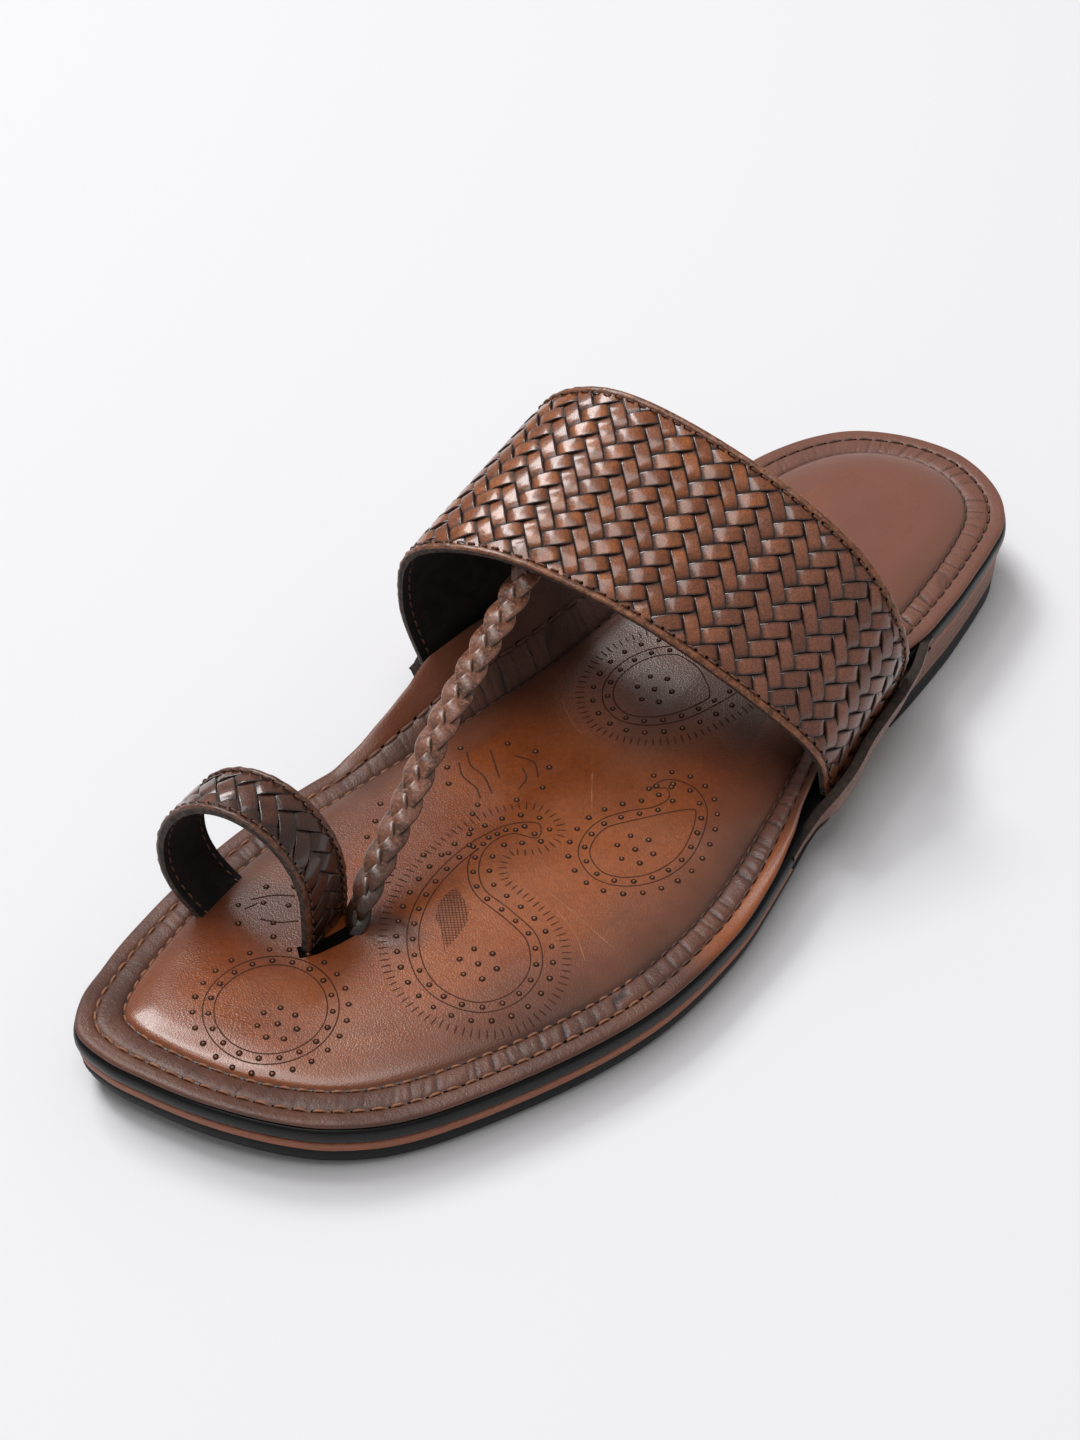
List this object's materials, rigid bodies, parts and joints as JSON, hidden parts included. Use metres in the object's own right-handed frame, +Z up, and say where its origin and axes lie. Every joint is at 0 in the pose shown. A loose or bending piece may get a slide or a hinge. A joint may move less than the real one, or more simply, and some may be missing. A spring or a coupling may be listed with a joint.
{
  "type": "sandal",
  "caption": "Flat leather sandal for the left foot with a woven instep band, a woven toe ring, a braided strap between them, a padded footbed and a low stacked heel.",
  "frame": {"origin": "middle of the footprint box, on the floor", "axes": "+Z up, toe toward -Y, heel toward +Y, big-toe side toward -X, little-toe side toward +X"},
  "size_m": [0.1138, 0.285, 0.0865],
  "materials": {
    "leather_brown": "polished, crowned pad with stitched border",
    "leather_woven": "polished, close twill weave",
    "leather_edge": "stained cut edge",
    "board_black": "burnished black edge",
    "rubber_black": "matte moulded"
  },
  "bodies": {
    "root": {"outsole": "rubber_black", "midsole": "leather_edge", "rand": "board_black", "heel_stack": "leather_edge", "heel_top_lift": "rubber_black", "footbed": "leather_brown", "ear_medial": "leather_edge", "ear_lateral": "leather_edge", "upper": "leather_woven"}
  },
  "joints": []
}
